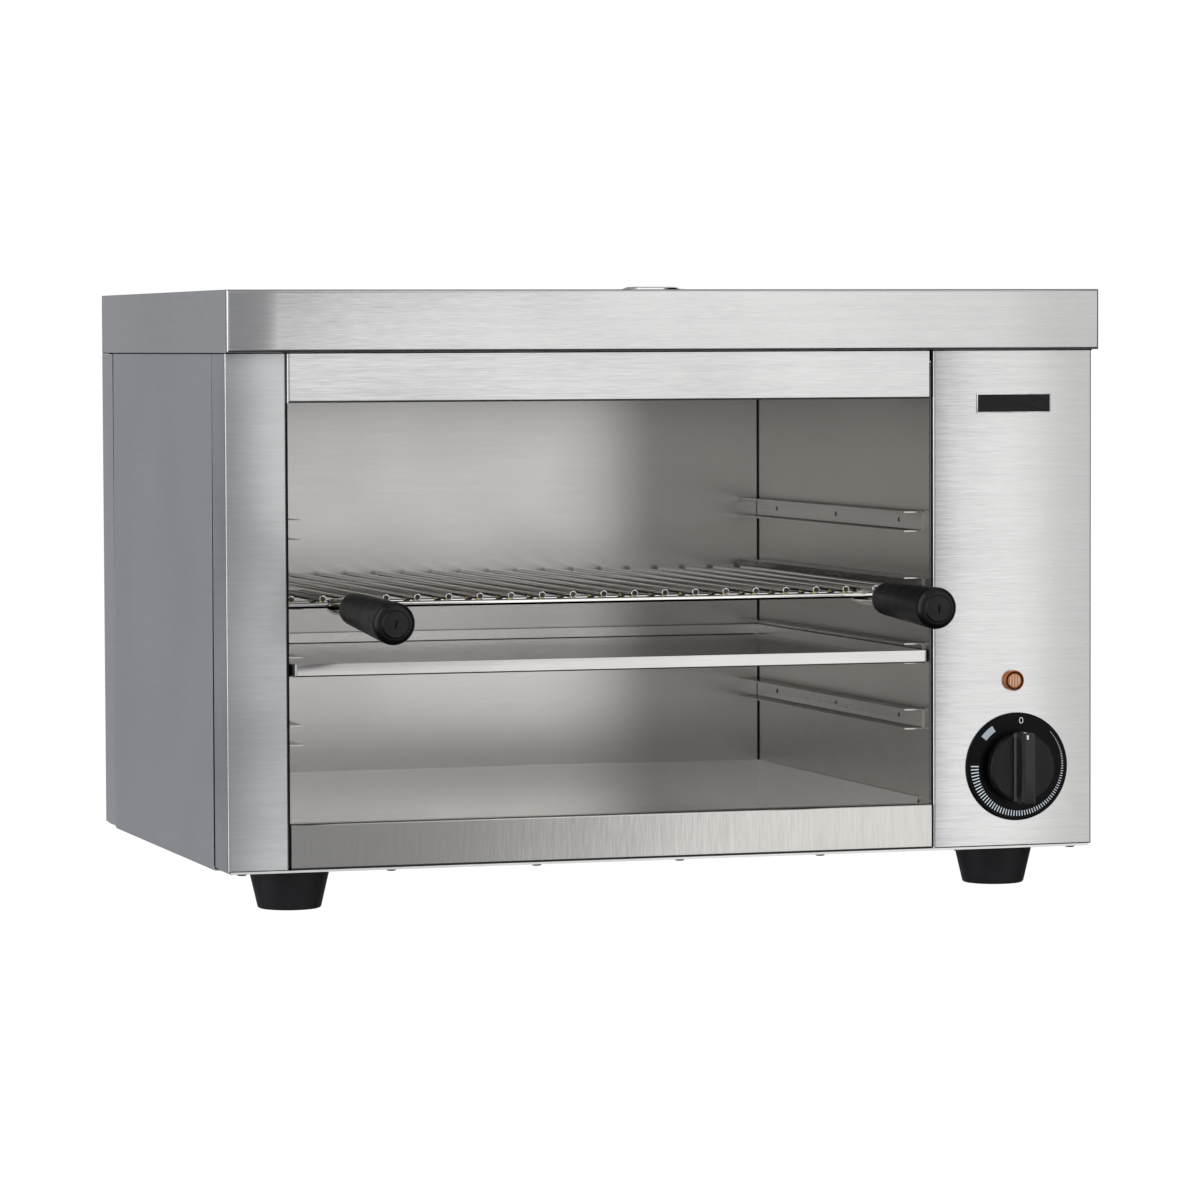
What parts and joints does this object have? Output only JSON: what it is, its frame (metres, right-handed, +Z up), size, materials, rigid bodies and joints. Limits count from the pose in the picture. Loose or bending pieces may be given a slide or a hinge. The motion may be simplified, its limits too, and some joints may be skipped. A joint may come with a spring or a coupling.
{
  "type": "cheese melter",
  "caption": "Countertop cheese melter: steel casing with an open front, ceiling heating elements, runners, a sliding wire rack with grips, a sheet tray and a rotary heat control.",
  "frame": {"origin": "middle of the whole machine's footprint, grips and cable gland included, on the surface it stands on", "axes": "+X to the machine's right as the user faces it, +Y to its back, +Z up"},
  "size_m": [0.61, 0.544, 0.4122],
  "materials": {
    "casing_steel": "brushed, grain across the fronts",
    "cavity_steel": "satin",
    "runner_steel": "satin",
    "tray_steel": "satin",
    "wire_chrome": "bright",
    "fastener_steel": "bright",
    "grip_black": "satin",
    "knob_black": "satin",
    "dial_black": "gloss",
    "pointer_white": "gloss",
    "lamp_amber": "translucent gloss",
    "plate_black": "gloss",
    "element_tube": "oxidised",
    "bush_brass": "satin",
    "ceramic_cream": "matt",
    "insulation_wool": "fibrous",
    "wire_red": "satin",
    "foot_rubber": "matt",
    "gland_black": "satin"
  },
  "bodies": {
    "casing": {"top_cover": "casing_steel", "top_vent": "casing_steel", "left_side_panel": "casing_steel", "right_side_panel": "casing_steel", "rear_panel": "casing_steel", "left_pillar": "casing_steel", "upper_fascia": "casing_steel", "lower_strip": "casing_steel", "control_panel": "casing_steel", "base_plate": "casing_steel", "cavity_back": "cavity_steel", "cavity_left_wall": "cavity_steel", "cavity_right_wall": "cavity_steel", "crumb_pan": "cavity_steel", "ceiling_reflector": "cavity_steel", "left_runner_1": "runner_steel", "left_runner_2": "runner_steel", "left_runner_3": "runner_steel", "left_runner_4": "runner_steel", "right_runner_1": "runner_steel", "right_runner_2": "runner_steel", "right_runner_3": "runner_steel", "right_runner_4": "runner_steel", "runner_rivets": "runner_steel", "front_element": "element_tube", "rear_element": "element_tube", "element_hangers": "cavity_steel", "element_bushes": "bush_brass", "element_terminals": "ceramic_cream", "insulation": "insulation_wool", "dial_plate": "dial_black", "regulator_body": "ceramic_cream", "regulator_screws": "fastener_steel", "lamp_lens": "lamp_amber", "lamp_holder": "ceramic_cream", "name_plate": "plate_black", "terminal_block": "ceramic_cream", "cable_gland": "gland_black", "wiring": "wire_red", "front_left_foot": "foot_rubber", "front_right_foot": "foot_rubber", "rear_left_foot": "foot_rubber", "rear_right_foot": "foot_rubber", "foot_screws": "fastener_steel", "base_screws": "fastener_steel", "cover_screws": "fastener_steel"},
    "knob": {"control_knob": "knob_black", "knob_pointer": "pointer_white", "regulator_shaft": "fastener_steel"},
    "rack": {"rack_rods": "wire_chrome", "rack_cross_wires": "wire_chrome", "left_grip": "grip_black", "right_grip": "grip_black", "left_grip_strap": "wire_chrome", "right_grip_strap": "wire_chrome", "grip_screws": "fastener_steel", "strap_bolts": "fastener_steel"},
    "tray": {"sheet_tray": "tray_steel"}
  },
  "joints": [
    {"name": "knob_turn", "type": "hinge", "parent": "casing", "child": "knob", "pos_m": [0.2485, -0.15, 0.084], "axis": [0, 1, 0], "continuous": true},
    {"name": "rack_slide", "type": "slide", "parent": "casing", "child": "rack", "axis": [0, -1, 0], "range_m": [0, 0.3]},
    {"name": "tray_slide", "type": "slide", "parent": "casing", "child": "tray", "axis": [0, -1, 0], "range_m": [0, 0.3]}
  ]
}
